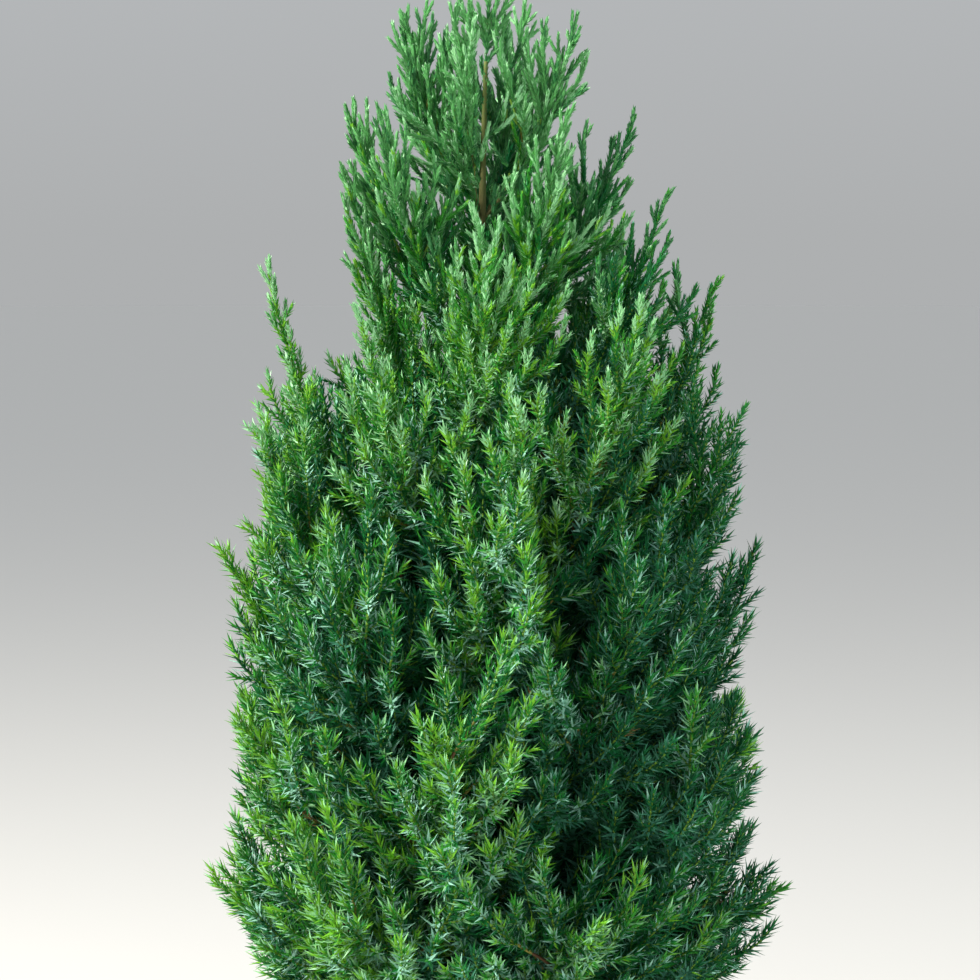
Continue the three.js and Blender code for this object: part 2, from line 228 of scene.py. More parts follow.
crown = {
    "seed": 31,
    # how far the tips stand from the middle at each height, on the plant's left and right
    "leftReach": [
        (200, 118), (216, 135), (260, 156), (315, 156), (351, 154), (395, 148), (466, 142),
        (516, 134), (548, 128), (564, 84), (698, 82), (711, 79), (724, 66), (748, 56),
        (758, 32), (767, 6),
    ],
    "rightReach": [
        (200, 120), (216, 137), (238, 157), (288, 156), (340, 161), (381, 152), (434, 142),
        (480, 141), (519, 142), (542, 132), (583, 124), (615, 112), (634, 90), (659, 82),
        (697, 64), (731, 48), (752, 28), (766, 6),
    ],
    # degrees from upright of the tips at each height
    "lean": [(200, 52), (240, 43), (300, 34), (400, 25), (480, 18), (560, 14), (650, 14),
             (720, 12), (760, 4)],
    "scatter": 0.22,  # how far a tip strays from that lean
    "heights": (202, 764),  # of the lowest and the highest tip
    "tries": 16000,  # places drawn for each layer, from which the tips are chosen
    "blueness": 0.75,  # how much bluer the growth is low in the crown
    "blueFades": (330, 560),  # heights between which that ends
    "brightens": (500, 600),  # heights between which the inner layers' painted shade lightens, their tones coming nearer to bright ones
    "brightShare": 0.6,  # share of the layer's tone, painted shade included, that is left then
}
# each layer: how deep under the outline it lies, the spread of that depth, the space between tips
# low and high in the crown, the tone, which is deeper for the inner layers as painted shade inside
# the crown, how much wider apart its twiglets and whorls of needles are than in the outer layer,
# and how much bigger its needles are
layerColumns = ("depth", "spread", "gaps", "tone", "every", "big")
layerRows = [
    (3, 5, (21, 16), 1.6, 1.0, 1.0),
    (28, 8, (21, 19), 3.2, 1.3, 1.15),
    (60, 12, (28, 21), 4.0, 1.8, 1.45),
    (98, 14, (24, 21), 4.3, 2.0, 2.0),
]
layers = [dict(zip(layerColumns, row)) for row in layerRows]
# dark furrows between plumes, and ridges where a plume stands proud (depth below 0): a line of
# heights and azimuths, half its width and its depth
furrows = [
    ([(515, -74), (440, -69), (315, -67), (228, -84)], 15, 54),
    ([(425, -96), (375, -91)], 9, 44),
    ([(321, -114), (277, -104)], 11, 40),
    ([(500, -85), (372, -83)], 11, -11),
    ([(392, -101), (262, -101)], 10, -9),
    ([(604, -87), (505, -86)], 8, -8),
    ([(470, -140), (330, -128)], 12, -7),
    ([(470, -48), (330, -44)], 12, -6),
]
# between plumes the tips stand deeper: from how many mm off a stem, to how many, and by how much
valley = {
    "heights": (490, 660),  # between these the first values give way to the second ones
    "from": (15, 10),
    "to": (36, 25),
    "depth": (14, 29),
}
# the trunk shows through the front of the crown here: heights, x at each, half the width, and
# the share of twigs in front of it that stay
trunkView = {"heights": (636, 730), "places": (-1.0, -2.0), "half": 6.4, "crossing": 0.03}
# pairs here and below are values low and high in the crown, unless their note says otherwise
finger = {
    "length": (64, 46),  # mm of it that carry needles
    "twiglets": (7.4, 8.2),  # mm between twiglets
    "longest": (17, 18),  # mm of a twiglet
    "open": (33, 27),  # degrees between a twiglet and its finger
    "dry": 0.0005,  # share of dry twiglets for each mm of depth, low in the crown
    "dryEnds": (330, 470),  # heights between which dry twiglets end
    "frosty": (9, 22),  # mm from its tip in which twiglets lose their frost
    "stiffness": (0.3, 0.45),  # shares of its span that run on along the stem and up to its tip
    "shortest": 14,  # mm from root to tip
    "rootBelow": 22,  # least mm from the height of the tip down to that of the root
    "radii": (1.3, 1.02, 0.5),  # at the root, at the first needles and at the tip
    "highThinner": 0.76,
}
twiglet = {
    "first": 9.0,  # mm from the shoot's tip to the first one
    "stray": 8,  # degrees either way
    "least": 3,  # mm
    "perMm": 0.42,  # mm that it is longer for each mm from the tip
    "lengths": (0.7, 1.2),  # shares of that length, from and to
    "rise": 0.08,
    "radii": (0.45, 0.3),  # at the root and at the tip
}
# how much fresher (below 0) or deeper the growth of some plumes is: partly each plume's own growth,
# partly painted light and shade. The deeper tones paint shade, most of all on the plumes of the
# plant's right-hand side, and the fresher ones help paint light on lit plumes
plumeTonesAndPaintedShade = {
    "upper_2": 0.1, "low_2": -0.4, "skirt_3": -0.6, "low_3": -0.2, "middle_3": 0.5,
    "upper_3": 0.2, "shoulder_3": -0.5, "collar_3": 0.0, "collar_2": -0.8, "shoulder_2": 0.15,
    "neck_2": -0.5, "head_2": -0.4,
    "skirt_1": 1.0, "skirt_2": 0.3, "low_1": 0.9, "middle_1": 1.2, "middle_2": 0.8,
    "upper_1": 1.3, "shoulder_1": 1.0, "collar_1": 1.0, "neck_1": 0.8, "neck_3": 0.3,
    "neck_4": 0.3, "head_3": 0.4,
}
# shoots round the last part of a stem: shares of it, mm between them and of their length; pairs
# are values at the first shoot and at the last one
tipShoots = {
    "from": 0.5,
    "to": 0.975,
    "every": 6.0,
    "length": (34, 9),
    "leaderFrom": 0.05,
    "leaderLength": (20, 9),
    "open": (36, 26),
    "rise": 0.12,
    "twigletOpen": 36,
}
# the same for shoots from the upper trunk, with how much they leave it upwards and outwards
trunkShoots = {"heights": (560, 724), "every": 5.5, "length": (34, 14), "leave": (0.8, 0.62)}
shootRadii = (0.6, 0.32)  # of both, at the root and at the tip
shootTwigletRadii = (0.42, 0.3)


def reachAt(height, azimuth):
    left = np.interp(height, *np.array(crown["leftReach"], float).T)
    right = np.interp(height, *np.array(crown["rightReach"], float).T)
    return lerp(left, right, smooth(0.1, 0.9, (1 + np.cos(azimuth)) / 2))


def highness(height):
    return smooth(needleLook["openBelow"], needleLook["closedAbove"], height)


# how much deeper than the crown's outline the tips lie in the furrows
def furrowDepth(heights, azimuths):
    depths = np.zeros(len(heights))
    for line, half, depth in furrows:
        spots = np.array(sorted(line), float)
        middle = np.radians(np.interp(heights, spots[:, 0], spots[:, 1]))
        away = np.abs((azimuths - middle + math.pi) % (2 * math.pi) - math.pi)
        across = away * reachAt(heights, azimuths)
        share = 1 - smooth(half, half * 2, across)
        share = share * (heights > spots[0, 0] - 8) * (heights < spots[-1, 0] + 8)
        depths += depth * share
    return depths


stemShares = np.linspace(0.12, 1, 28)
stemSamples = np.stack([stemAt(plume, stemShares) for plume in plumes])


# the plume and the place on its stem that a finger grows from: near where it comes from,
# well below its tip and no further out
def rootFor(tip, way, length):
    wanted = tip - way * length
    wanted[:2] *= 0.8
    gaps = np.linalg.norm(stemSamples - wanted, axis=-1)
    fromAxis = np.hypot(stemSamples[..., 0], stemSamples[..., 1])
    tipOut = np.hypot(tip[0], tip[1])
    gaps = gaps + 4 * np.maximum(stemSamples[..., 2] - (tip[2] - finger["rootBelow"]), 0)
    gaps = gaps + 2 * np.maximum(fromAxis - (tipOut + 4), 0)
    owner, place = np.unravel_index(np.argmin(gaps), gaps.shape)
    return owner, stemShares[place]


def onCrown(reaches, azimuths, heights):
    return np.stack([reaches * np.cos(azimuths), reaches * np.sin(azimuths), heights], axis=1)


# how much deeper the tips lie between the plumes' stems
def valleyDepth(places):
    stems = stemSamples.reshape(-1, 3)
    parts = np.array_split(places, 30)  # so that the table of distances stays small
    nearest = [np.linalg.norm(part[:, None] - stems, axis=-1).min(axis=1) for part in parts]
    nearest = np.concatenate(nearest)
    high = smooth(*valley["heights"], places[:, 2])
    low, to, depth = (lerp(*valley[key], high) for key in ("from", "to", "depth"))
    return depth * smooth(0, 1, (nearest - low) / (to - low))


def isOuter(layer):
    return layer["depth"] < 10


# evenly strewn places for the tips of one layer, none too near another
def tipPlaces(layer, rng):
    count = crown["tries"]
    heights = rng.uniform(*crown["heights"], count)
    azimuths = rng.uniform(-math.pi, math.pi, count)
    reaches = reachAt(heights, azimuths)
    likely = rng.random(count) < reaches / 160  # as many on each patch of the outline
    heights, azimuths, reaches = heights[likely], azimuths[likely], reaches[likely]
    outer = reaches - layer["depth"]
    furrowed = furrowDepth(heights, azimuths)
    valleyed = valleyDepth(onCrown(outer, azimuths, heights))
    sunk = np.where(furrowed < 0, furrowed, np.maximum(furrowed, valleyed))
    sunk = sunk * (layer["depth"] < 80)  # the innermost layer has no furrows
    reaches = outer - sunk + layer["spread"] * rng.uniform(-1, 1, len(outer))
    candidates = onCrown(reaches, azimuths, heights)
    gaps = lerp(*layer["gaps"], highness(heights))
    kept = np.full((count, 3), 1e9)
    chosen = []
    for i in np.flatnonzero(reaches > (3 if isOuter(layer) else 14)):
        near = ((kept[: len(chosen)] - candidates[i]) ** 2).sum(axis=1)
        if len(near) and near.min() < gaps[i] ** 2:
            continue
        kept[len(chosen)] = candidates[i]
        chosen.append(i)
    return candidates[chosen], azimuths[chosen]


# whether a twig stands in front of the trunk where the trunk shows
def hidesTrunk(line):
    low, high = trunkView["heights"]
    middle = np.interp(line[:, 2], (low, high), trunkView["places"])
    within = (line[:, 2] > low) & (line[:, 2] < high)
    over = within & (np.abs(line[:, 0] - middle) < trunkView["half"]) & (line[:, 1] < -1)
    return over[1:].any() and coin.random() > trunkView["crossing"]


# twiglets all round a shoot, shorter towards its tip
def twigletsOn(line, spacing, longest, openness, rng):
    lengths = lengthsAlong(line)
    total = lengths[-1]
    fromTip = np.arange(twiglet["first"], total - 2, spacing)
    fromTip = fromTip + rng.uniform(-0.25, 0.25, len(fromTip)) * spacing
    if not len(fromTip):
        return []
    at = total - fromTip
    roots, ahead = (
        np.stack([np.interp(spots, lengths, line[:, k]) for k in range(3)], axis=1)
        for spots in (at, at + 2)
    )
    along = unit(ahead - roots + 1e-6)
    side = unit(np.cross(along, np.array([0.3, 0.2, 1.0])))
    spin = rng.uniform(0, 2 * math.pi) + np.arange(len(at)) * goldenAngle
    away = turned(side, np.cross(side, along), spin)
    stray = rng.uniform(-twiglet["stray"], twiglet["stray"], len(at))
    angle = np.radians(openness + stray)[:, None]
    ways = unit(along * np.cos(angle) + away * np.sin(angle) + up * twiglet["rise"])
    ends = unit(ways * 0.5 + along * 0.5)
    sizes = np.minimum(longest, twiglet["least"] + twiglet["perMm"] * fromTip)
    sizes = sizes * rng.uniform(*twiglet["lengths"], len(at))
    return list(grownLines(roots, ways, ends, sizes, 3))


# lines that leave their roots one way and bend towards another
def grownLines(roots, starts, ends, lengths, count):
    share = np.linspace(0, 1, count)[None, :, None]
    ways = unit(lerp(starts[:, None, :], ends[:, None, :], share[:, :-1] ** 0.8))
    steps = ways * (lengths / (count - 1))[:, None, None]
    return np.concatenate([roots[:, None], roots[:, None] + np.cumsum(steps, axis=1)], axis=1)


# whether a twig ends too near the pot's rim or the compost, or outside the crown
def outOfSpace(line):
    x, y, height = line[-1]
    fromAxis = np.hypot(x, y)
    below = potRim["height"] if fromAxis > potRim["radius"] - 24 else soilTop
    return height < below + 10 or fromAxis > np.interp(height, *outline.T) + 8


# needles: how long, wide and open they are, in mm and degrees

needleLook = {
    "openBelow": 520,  # below this height the needles stand open
    "closedAbove": 640,  # above this they lie close
    "shortens": (400, 640),  # heights between which they go from the longest to the shortest
    "length": (9.5, 4.2),  # longest and shortest
    "width": (1.72, 1.9),
    "angle": (54, 29),
    "tuft": 14,  # mm at a shoot's end where needles draw together
    "every": (2.8, 1.45),  # mm between whorls
    "perWhorl": 3,
    "closer": 0.82,  # how much closer together the shortest needles are than the longest
    "slimmer": 0.92,  # and how much slimmer
    "youngLength": 0.82,  # share of its length that the needle at a tip has
    "youngAngle": (0.4, 0.5),  # share of its angle
    "dryAngle": 0.7,  # share of its angle that a dry needle has
    "bloomAndGlintShare": 0.58,  # share of the needles whose upper face is pale: partly their own wax, partly painted glint
}
# a needle's tone is a number: the place of its material in needleTones, less 3; pairs of
# heights, or of mm from the tip, are where a change begins and where it is complete
toneLook = {
    "closed": -1,  # from here down the tones are those of the closed shoots
    "greenest": 4.0,  # no green needle is given a deeper tone than this
    "dry": 6,  # the tone of dry needles
    "frosted": (430, 530),  # heights between which the tips of open shoots turn frosty
    "pales": (545, 690),  # heights between which whole shoots turn to the closed tones, which are lighter partly as painted light on the crown's top
    "fresh": 1.95,  # how much fresher a shoot's end is
    "freshAlong": (2, 12),  # mm from the tip in which that fades
    "frost": 2.4,  # how much frostier
    "frostAlong": (5, 20),
    "frostEnds": (0.2, 0.5),  # values of a plume's painted shade between which it loses its frost
    "paintedShadeFrost": 0.2,  # share of the frost that is left then
    "stillFresh": 0.4,  # share of the freshness that frosted shoots, and shoots under painted shade, have
    "closedSteps": (0.5, 0.6, 0.45),  # a closed tone's start, and what tone and freshness add
}
sprays = []
coin = np.random.default_rng([crown["seed"], 7])


# keeps one twig as a line with its needles' attributes
def addSpray(owner, line, radius, endRadius, tone, every=1.0, big=1.0, frost=0.0):
    if hidesTrunk(line):
        return
    lengths = lengthsAlong(line)
    toTip = lengths[-1] - lengths
    high = highness(line[:, 2])
    drawn = np.clip(toTip / needleLook["tuft"], 0, 1) ** 0.7
    shorter = smooth(*needleLook["shortens"], line[:, 2])
    long = lerp(*needleLook["length"], shorter)
    angle = lerp(*needleLook["angle"], high)
    lowWide, highWide = needleLook["width"]
    wide = lerp(lowWide * lerp(1, needleLook["slimmer"], shorter), highWide, high)
    lowEvery, highEvery = needleLook["every"]
    lowEvery = lowEvery * lerp(1, needleLook["closer"], shorter).mean()
    spacing = lerp(lowEvery, highEvery, high.mean()) * every
    frosted = smooth(*toneLook["frosted"], line[:, 2])
    # a plume's deeper tone is painted shade, and here it also takes freshness and frost off its
    # shoots
    paintedShade = np.clip(plumeToneAndPaintedShade[owner], 0, 1)
    fresh = -toneLook["fresh"] * (1 - smooth(*toneLook["freshAlong"], toTip))
    less = toneLook["stillFresh"]
    fresh = fresh * lerp(1, less, frosted) * lerp(1, less, paintedShade)
    frosty = -toneLook["frost"] * frost * (1 - smooth(*toneLook["frostAlong"], toTip)) * frosted
    frosty = frosty * lerp(1, toneLook["paintedShadeFrost"], smooth(*toneLook["frostEnds"], paintedShade))
    if tone == toneLook["dry"]:
        tones = np.full(len(line), float(tone))
        angle, big = angle * needleLook["dryAngle"], 1.0
    elif coin.random() < smooth(*toneLook["pales"], line[:, 2].mean()):
        base, perTone, perFresh = toneLook["closedSteps"]
        deeper = base + perTone * (tone + plumeToneAndPaintedShade[owner]) + perFresh * fresh
        tones = toneLook["closed"] - np.clip(deeper, 0, 2)
    else:
        tones = tone + plumeToneAndPaintedShade[owner] + fresh
        tones = np.clip(tones, 0.7 * frosted, toneLook["greenest"]) + frosty
    sprays.append(
        {
            "owner": owner,
            "line": line,
            "radius": lerp(radius, endRadius, lengths / lengths[-1]),
            "needleLength": long * big * lerp(needleLook["youngLength"], 1, drawn),
            "needleAngle": angle * lerp(lerp(*needleLook["youngAngle"], high), 1, drawn),
            "every": np.full(len(line), spacing),
            "needleWidth": wide * big,
            "tone": tones,
        }
    )


def drawTone(tone, dryShare, rng):
    dry = rng.random() < dryShare
    own = min(tone + rng.normal(0, 0.45), toneLook["greenest"])
    return toneLook["dry"] if dry else own


def growFingers(layer, rng):
    places, azimuths = tipPlaces(layer, rng)
    leans = np.interp(places[:, 2], *np.array(crown["lean"], float).T)
    rootRadius, leafyRadius, tipRadius = finger["radii"]
    leave, arrive = finger["stiffness"]
    for tip, azimuth, lean in zip(places, azimuths, leans):
        lean = math.radians(lean)
        way = wayOut(azimuth) * math.sin(lean) + up * math.cos(lean)
        way = unit(way + crown["scatter"] * unit(rng.normal(0, 1, 3)))
        high = highness(tip[2])
        leafy = lerp(*finger["length"], high) * rng.uniform(0.85, 1.15)
        owner, share = rootFor(tip, way, leafy * 1.1)
        root = stemAt(plumes[owner], share)
        span = np.linalg.norm(tip - root)
        if span < finger["shortest"]:
            continue
        along = stemAlong(plumes[owner], share)
        handles = (root, root + along * span * leave, tip - way * span * arrive, tip)
        line = bezierAt(handles, np.linspace(0, 1, 10))
        lengths = lengthsAlong(line)
        first = max(int(np.searchsorted(lengths - lengths[-1], -leafy)) - 1, 0)
        # the layer's tone, deeper inside the crown as painted shade, and lighter high up
        base = layer["tone"] * lerp(1, crown["brightShare"], smooth(*crown["brightens"], tip[2]))
        base = base + crown["blueness"] * (1 - smooth(*crown["blueFades"], tip[2]))
        tone = drawTone(base, 0, rng)
        if first > 1:
            inner = line[: first + 1]
            radii = np.linspace(rootRadius, leafyRadius, len(inner))
            radii = radii * lerp(1, finger["highThinner"], high)
            bareSprays.append({"owner": owner, "line": inner, "radius": radii})
        green = line[first:]
        thick = lerp(leafyRadius, 0.86, high)
        frost = float(isOuter(layer))
        addSpray(owner, green, thick, tipRadius, tone, layer["every"], layer["big"], frost)
        spacing = lerp(*finger["twiglets"], high) * layer["every"]
        openness, longest = lerp(*finger["open"], high), lerp(*finger["longest"], high)
        dryShare = finger["dry"] * layer["depth"] * (1 - smooth(*finger["dryEnds"], tip[2]))
        for side in twigletsOn(green, spacing, longest, openness, rng):
            if not outOfSpace(side):
                own = drawTone(tone, dryShare, rng)
                near = frost * (1 - smooth(*finger["frosty"], np.linalg.norm(side[0] - tip)))
                addSpray(owner, side, *twiglet["radii"], own, layer["every"], layer["big"], near)
    return len(places)


# short shoots round the last part of a stem, which make the plume's own point
def growTipShoots(index, rng):
    plume = plumes[index]
    stemLength = lengthsAlong(stemAt(plume, np.linspace(0, 1, 40)))[-1]
    start, lengths = tipShoots["from"], tipShoots["length"]
    if plume["name"] == "leader":
        start, lengths = tipShoots["leaderFrom"], tipShoots["leaderLength"]
    count = max(int(stemLength * (tipShoots["to"] - start) / tipShoots["every"]), 3)
    share = np.arange(count) / (count - 1)
    t = lerp(start, tipShoots["to"], share)
    along = stemAlong(plume, t)
    high = highness(stemAt(plume, 0.8)[2])
    side = np.cross(up, plume["outward"])
    spin = np.arange(count) * goldenAngle + vary(index, 20) * 2 * math.pi
    away = turned(side, np.cross(along, side), spin)
    angle = np.radians(lerp(*tipShoots["open"], share) + rng.uniform(-7, 7, count))[:, None]
    ways = unit(along * np.cos(angle) + away * np.sin(angle) + up * tipShoots["rise"])
    lengths = lerp(*lengths, share**0.8) * rng.uniform(0.8, 1.15, count)
    lines = grownLines(stemAt(plume, t), ways, unit(ways + along), lengths, 6)
    tone = 1.3 + rng.normal(0, 0.35)
    for line in lines:
        if outOfSpace(line):
            continue
        own = tone + rng.normal(0, 0.3)
        addSpray(index, line, *shootRadii, own, frost=0.8)
        spacing, longest = lerp(6.0, 8.2, high), lerp(11, 14, high)
        for side in twigletsOn(line, spacing, longest, tipShoots["twigletOpen"], rng):
            if not outOfSpace(side):
                addSpray(index, side, *shootTwigletRadii, own + rng.normal(0, 0.3))
    addSpray(index, stemAt(plume, np.linspace(0.4, 1, 14)), 0.9, 0.45, tone, frost=1.0)


# short shoots straight from the upper trunk
def growTrunkShoots(rng):
    leaderIndex = len(plumes) - 1
    heights = np.arange(*trunkShoots["heights"], trunkShoots["every"])
    spin = np.arange(len(heights)) * goldenAngle + rng.uniform(-0.3, 0.3, len(heights))
    away = np.stack([np.cos(spin), np.sin(spin), np.zeros(len(spin))], axis=1)
    rise, outwards = trunkShoots["leave"]
    ways = unit(up * rise + away * outwards)
    share = (heights - heights[0]) / (heights[-1] - heights[0])
    lengths = lerp(*trunkShoots["length"], share) * rng.uniform(0.8, 1.2, len(heights))
    for line in grownLines(trunkPlace(heights), ways, unit(ways + up), lengths, 6):
        tone = 2.0 + rng.normal(0, 0.4)
        addSpray(leaderIndex, line, *shootRadii, tone)
        for side in twigletsOn(line, 6.0, 10, 34, rng):
            addSpray(leaderIndex, side, *shootTwigletRadii, tone + rng.normal(0, 0.3))
    addSpray(leaderIndex, trunkPlace(np.linspace(690, trunk["top"], 6)), 0.9, 0.7, 2.0)


bareSprays = []
# each plume's tone: its own growth, with painted light and shade on some plumes
plumeToneAndPaintedShade = [
    plumeTonesAndPaintedShade.get(plume["name"], 0.2 * (vary(index, 30) - 0.5))
    for index, plume in enumerate(plumes)
]
for number, layer in enumerate(layers):
    made = growFingers(layer, np.random.default_rng([crown["seed"], number]))
    print("layer", number, "fingers", made)
for index in range(len(plumes)):
    growTipShoots(index, np.random.default_rng([crown["seed"], 100 + index]))
growTrunkShoots(np.random.default_rng([crown["seed"], 99]))
print("twigs", len(sprays), "bare", len(bareSprays))


def inScene(name, data):
    made = bpy.data.objects.new(name, data)
    bpy.context.scene.collection.objects.link(made)
    return made


def pointFloats(mesh, name, values):
    layer = mesh.attributes.new(name, "FLOAT", "POINT")
    layer.data.foreach_set("value", values.astype(np.float32))


# what the numbers of a spray are multiplied by for its mesh
sprayUnits = {
    "radius": toMetres,
    "needleLength": toMetres,
    "needleAngle": math.pi / 180,
    "every": toMetres,
    "needleWidth": toMetres,
    "tone": 1,
}


# some sprays as a mesh of edges that carries their attributes
def lineMesh(name, chosen):
    places = np.concatenate([spray["line"] for spray in chosen]) * toMetres
    ends = np.cumsum([len(spray["line"]) for spray in chosen])
    starts = np.delete(np.arange(len(places) - 1), ends[:-1] - 1)
    edges = np.stack([starts, starts + 1], axis=1)
    mesh = bpy.data.meshes.new(name)
    mesh.vertices.add(len(places))
    mesh.vertices.foreach_set("co", places.ravel())
    mesh.edges.add(len(edges))
    mesh.edges.foreach_set("vertices", edges.ravel())
    for key, scale in sprayUnits.items():
        values = [spray.get(key, np.zeros(len(spray["line"]))) for spray in chosen]
        pointFloats(mesh, "spray_" + key, np.concatenate(values) * scale)
    mesh.update()
    return inScene(name, mesh)


# a short way to add a node, set its own values and link what feeds it; feeds go by the name of
# the input, or by its number after an i
def adder(tree):

    def add(kind, settings=None, **feeds):
        node = tree.nodes.new(kind)
        for key, value in (settings or {}).items():
            setattr(node, key, value)
        for key, value in feeds.items():
            label = key.replace("_", " ")
            socket = node.inputs[int(key[1:])] if key[0] == "i" and key[1:].isdigit() else None
            socket = socket or next(s for s in node.inputs if s.name == label and s.enabled)
            if isinstance(value, bpy.types.NodeSocket):
                tree.links.new(value, socket)
            else:
                socket.default_value = value
        return node

    return add


def shown(node):
    return next(s for s in node.outputs if s.enabled)


# materials


def newMaterial(name, roughness, specular):
    material = bpy.data.materials.new(name)
    material.use_nodes = True
    shader = material.node_tree.nodes["Principled BSDF"]
    shader.inputs["Roughness"].default_value = roughness
    shader.inputs["Specular IOR Level"].default_value = specular
    return material, shader


def plainMaterial(name, colour, roughness, specular=0.25):
    material, shader = newMaterial(name, roughness, specular)
    shader.inputs["Base Color"].default_value = (*colour, 1)
    material.diffuse_color = (*colour, 1)
    return material


# a material whose colour and height come from paint, which is given the place on the object
def texturedMaterial(name, roughness, specular, paint, **bumpSizes):
    material, shader = newMaterial(name, roughness, specular)
    tree = material.node_tree
    add = adder(tree)
    colour, height = paint(add, add("ShaderNodeTexCoord").outputs["Object"])
    bump = add("ShaderNodeBump", Height=height, **bumpSizes)
    tree.links.new(colour, shader.inputs["Base Color"])
    tree.links.new(bump.outputs["Normal"], shader.inputs["Normal"])
    return material


def noiseOf(add, place, scale, detail, **rest):
    node = add("ShaderNodeTexNoise", Vector=place, Scale=scale, Detail=detail, **rest)
    return node.outputs["Fac"]


def stretched(add, place, scale):
    return add("ShaderNodeMapping", Vector=place, Scale=scale).outputs["Vector"]


def rampOf(add, value, stops):
    node = add("ShaderNodeValToRGB", Fac=value)
    elements = node.color_ramp.elements
    for k, (position, colour) in enumerate(stops):
        element = elements[k] if k < 2 else elements.new(position)
        element.position = position
        element.color = (*colour, 1)
    return node.outputs["Color"]


def mixOf(add, factor, first, second):
    colours = {"Factor": factor, "A": first, "B": (*second, 1)}
    return shown(add("ShaderNodeMix", {"data_type": "RGBA"}, **colours))


# an sRGB colour, each part from 0 to 255, as Blender's linear numbers
def linear(red, green, blue):
    parts = np.array([red, green, blue]) / 255
    return tuple(np.where(parts <= 0.04045, parts / 12.92, ((parts + 0.055) / 1.055) ** 2.4))


# the first three are the closed shoots' tones: pale like the crown's head, and lighter partly as
# painted light on the top
needleTones = [
    ("closed_deep", (50, 114, 62), 0.45),
    ("closed_green", (84, 152, 84), 0.42),
    ("closed_light", (136, 194, 136), 0.42),
    ("needles_lime", (112, 178, 46), 0.45),
    ("needles_bright", (52, 136, 42), 0.45),
    ("needles_green", (26, 110, 46), 0.45),
    ("needles_blue_green", (22, 100, 54), 0.45),
    ("needles_deep", (20, 84, 46), 0.5),
    ("needles_dry", (112, 82, 50), 0.7),
    ("needles_dry_pale", (150, 122, 80), 0.7),
    ("needles_dry_dark", (84, 56, 36), 0.7),
]
# pale upper faces of needles: partly their own wax bands, partly painted glint that stands in for
# light caught on them
bloomAndGlintTones = [
    ("bloom_glint_light", (134, 190, 134), 0.42),
    ("bloom_glint_middle", (146, 198, 176), 0.4),
    ("bloom_glint_deep", (66, 126, 100), 0.45),
    ("bloom_glint_closed", (168, 214, 168), 0.4),
]
twigTones = [
    ("twig_green", (118, 158, 58), 0.5),
    ("twig_tan", (140, 134, 64), 0.6),
    ("twig_brown", (96, 68, 46), 0.7),
]
needleMaterials, bloomAndGlintMaterials, twigMaterials = (
    [plainMaterial(name, linear(*tone), roughness) for name, tone, roughness in rows]
    for rows in (needleTones, bloomAndGlintTones, twigTones)
)
bloomAndGlintOfTone = [3, 3, 3, 0, 0, 1, 2, 2]  # of each of needleTones; the dry ones have no pale wax and painted glint
toneOfFirst = -3  # the tone that the first of needleTones stands for
twigOver = (-1.0, 0.00088, 0.00104)  # metres of radius from which a twig takes each of them


# geometry nodes


def newTree(name, inputs):
    tree = bpy.data.node_groups.new(name, "GeometryNodeTree")
    tree.interface.new_socket("Geometry", in_out="INPUT", socket_type="NodeSocketGeometry")
    tree.interface.new_socket("Geometry", in_out="OUTPUT", socket_type="NodeSocketGeometry")
    for label, kind in inputs.items():
        tree.interface.new_socket(label, in_out="INPUT", socket_type="NodeSocket" + kind)
    return tree, adder(tree), tree.nodes.new("NodeGroupInput").outputs


def endTree(tree, shape):
    end = tree.nodes.new("NodeGroupOutput")
    tree.links.new(shape, end.inputs["Geometry"])
    return tree


def named(add, name, kind="FLOAT"):
    node = add("GeometryNodeInputNamedAttribute", {"data_type": kind}, i0=name)
    return next(s for s in node.outputs if s.enabled and s.name == "Attribute")


def stored(add, shape, name, kind, value):
    settings = {"data_type": kind, "domain": "POINT"}
    feeds = {"Geometry": shape, "Name": name, "Value": value}
    return add("GeometryNodeStoreNamedAttribute", settings, **feeds).outputs["Geometry"]


def above(add, value, low):
    settings = {"data_type": "FLOAT", "operation": "GREATER_THAN"}
    return add("FunctionNodeCompare", settings, i0=value, i1=low).outputs[0]


def dressed(add, shape, material, choice=True):
    feeds = {"Geometry": shape, "Selection": choice, "Material": material}
    return add("GeometryNodeSetMaterial", **feeds).outputs["Geometry"]


# an object on every point, turned and scaled, as plain geometry
def strewn(add, points, shape, rotation, scale):
    shape = add("GeometryNodeObjectInfo", {"transform_space": "ORIGINAL"}, Object=shape)
    feeds = {"Points": points, "Instance": shape.outputs["Geometry"]}
    placed = add("GeometryNodeInstanceOnPoints", Rotation=rotation, Scale=scale, **feeds)
    solid = add("GeometryNodeRealizeInstances", Geometry=placed.outputs["Instances"])
    return solid.outputs["Geometry"]


# one needle, one unit long and wide: a flat upper face over a keel
def needlePrototype():
    mesh = bpy.data.meshes.new("needle")
    corners = [(-0.5, 0, 0.1), (0.5, 0, 0.1), (0, -0.45, 0), (0, 0, 1)]
    mesh.from_pydata(corners, [], [(1, 0, 3), (0, 2, 3), (2, 1, 3)])
    upper = mesh.attributes.new("upperSide", "BOOLEAN", "FACE")
    upper.data.foreach_set("value", [True, False, False])
    return inScene("needle", mesh)


# how much needles differ: spin, tilt and tone either way, length and width from and to
needleScatter = {
    "spin": 0.3,  # radians
    "whorlTurn": 1.05,  # radians from one whorl to the next
    "tilt": 0.17,
    "length": (0.82, 1.14),
    "width": (0.85, 1.15),
    "tone": 0.4,
}


